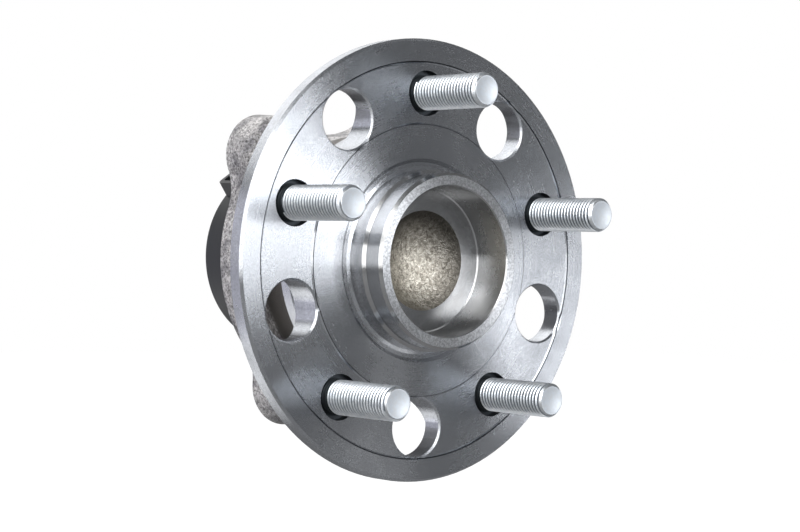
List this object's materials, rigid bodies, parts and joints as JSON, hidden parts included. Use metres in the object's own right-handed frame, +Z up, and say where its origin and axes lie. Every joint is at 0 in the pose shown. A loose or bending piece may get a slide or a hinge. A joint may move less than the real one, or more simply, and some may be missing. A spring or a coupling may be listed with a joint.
{
  "type": "wheel hub bearing",
  "caption": "Flanged wheel hub with studs, turning in a double-row ball bearing whose outer ring bolts on by ears and ends in a sensor cap.",
  "frame": {"origin": "centre of the flange's front face, on the hub's axis", "axes": "-Y along the hub's axis towards the wheel, +Y towards the vehicle, +Z up through the top stud"},
  "size_m": [0.1514, 0.116, 0.1514],
  "materials": {
    "turned_steel": "turned, bright",
    "forged_steel": "forged, dark and rough",
    "bearing_steel": "ground",
    "pressed_steel": "pressed sheet",
    "zinc_steel": "zinc plated",
    "polished_steel": "polished",
    "black_rubber": "matt",
    "black_moulding": "satin",
    "cage_moulding": "moulded polyamide",
    "brass": "plain"
  },
  "bodies": {
    "outer_ring_group": {"outer_ring": "forged_steel", "outboard_seal_case": "pressed_steel", "outboard_seal_lip": "black_rubber", "sensor_cap": "black_moulding", "cap_seal_ring": "black_rubber", "speed_sensor": "black_moulding", "connector_pin_1": "brass", "connector_pin_2": "brass"},
    "hub": {"wheel_hub": "turned_steel", "wheel_stud_1": "zinc_steel", "wheel_stud_2": "zinc_steel", "wheel_stud_3": "zinc_steel", "wheel_stud_4": "zinc_steel", "wheel_stud_5": "zinc_steel", "inner_ring": "bearing_steel", "encoder_carrier": "pressed_steel", "encoder_ring": "black_rubber"},
    "outboard_row": {"outboard_cage": "cage_moulding", "outboard_ball_01": "polished_steel", "outboard_ball_02": "polished_steel", "outboard_ball_03": "polished_steel", "outboard_ball_04": "polished_steel", "outboard_ball_05": "polished_steel", "outboard_ball_06": "polished_steel", "outboard_ball_07": "polished_steel", "outboard_ball_08": "polished_steel", "outboard_ball_09": "polished_steel", "outboard_ball_10": "polished_steel", "outboard_ball_11": "polished_steel", "outboard_ball_12": "polished_steel"},
    "inboard_row": {"inboard_cage": "cage_moulding", "inboard_ball_01": "polished_steel", "inboard_ball_02": "polished_steel", "inboard_ball_03": "polished_steel", "inboard_ball_04": "polished_steel", "inboard_ball_05": "polished_steel", "inboard_ball_06": "polished_steel", "inboard_ball_07": "polished_steel", "inboard_ball_08": "polished_steel", "inboard_ball_09": "polished_steel", "inboard_ball_10": "polished_steel", "inboard_ball_11": "polished_steel", "inboard_ball_12": "polished_steel"}
  },
  "joints": [
    {"name": "hub_spin", "type": "hinge", "parent": "outer_ring_group", "child": "hub", "pos_m": [0, 0.0388, 0], "axis": [0, 1, 0], "continuous": true},
    {"name": "outboard_row_spin", "type": "hinge", "parent": "outer_ring_group", "child": "outboard_row", "pos_m": [0, 0.03, 0], "axis": [0, 1, 0], "continuous": true},
    {"name": "inboard_row_spin", "type": "hinge", "parent": "outer_ring_group", "child": "inboard_row", "pos_m": [0, 0.0476, 0], "axis": [0, 1, 0], "continuous": true}
  ],
  "couplings": [
    {"joint": "outboard_row_spin", "follows": "hub_spin", "ratio": 0.42181},
    {"joint": "inboard_row_spin", "follows": "hub_spin", "ratio": 0.42181}
  ]
}
